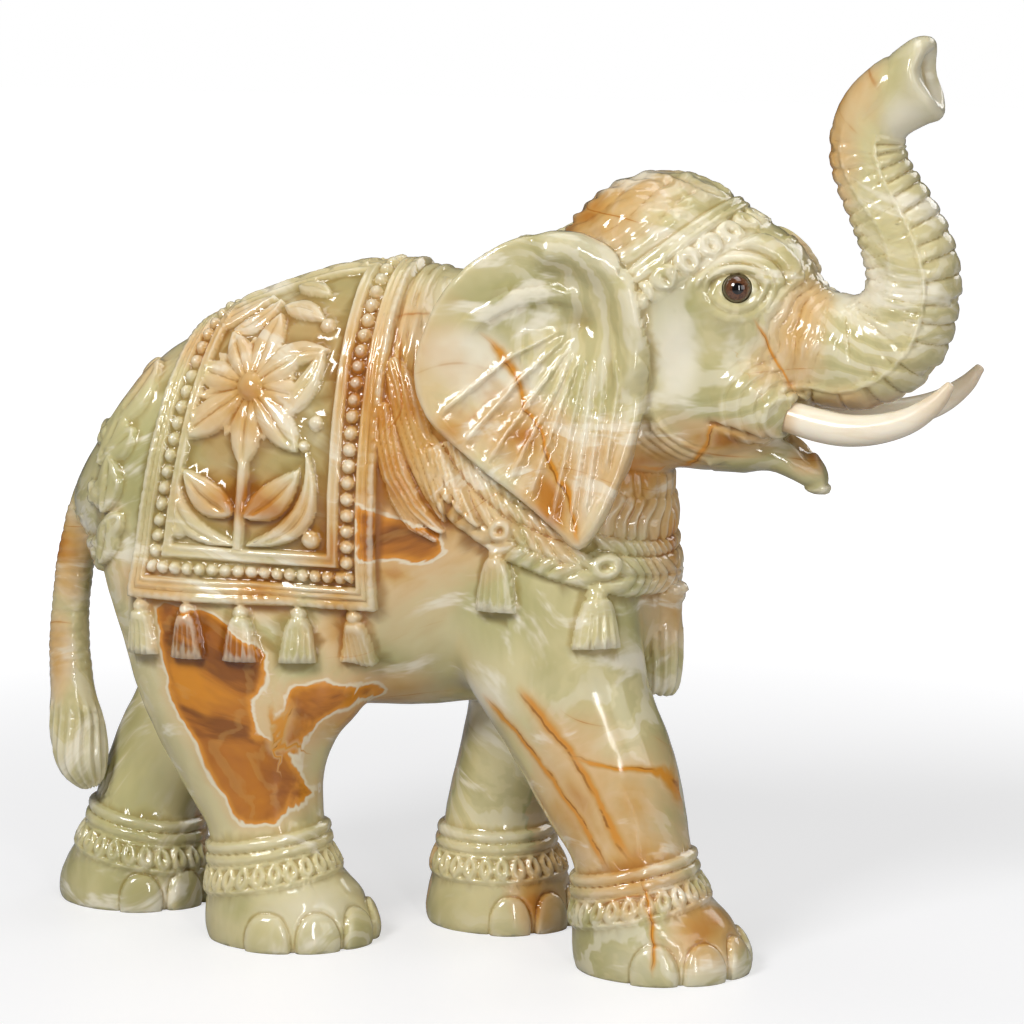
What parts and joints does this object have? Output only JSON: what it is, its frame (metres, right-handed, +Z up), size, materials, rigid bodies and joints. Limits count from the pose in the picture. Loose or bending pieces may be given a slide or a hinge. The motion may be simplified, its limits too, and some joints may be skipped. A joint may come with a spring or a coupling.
{
  "type": "carved marble elephant statue",
  "caption": "Carved polished onyx marble elephant walking with raised trunk, saddle cloth with flower and tassels, set tusks and glass eyes.",
  "frame": {"origin": "middle of the bounding box on the plane the four feet stand on", "axes": "+X forward, from tail to head; +Y to the elephant's left; +Z up"},
  "size_m": [0.32, 0.0952, 0.2996],
  "materials": {
    "onyx_marble": "polished",
    "ivory_inlay": "polished",
    "brown_glass": "polished"
  },
  "bodies": {
    "root": {"elephant": "onyx_marble", "tusk_right": "ivory_inlay", "tusk_left": "ivory_inlay", "eye_right": "brown_glass", "eye_left": "brown_glass"}
  },
  "joints": []
}
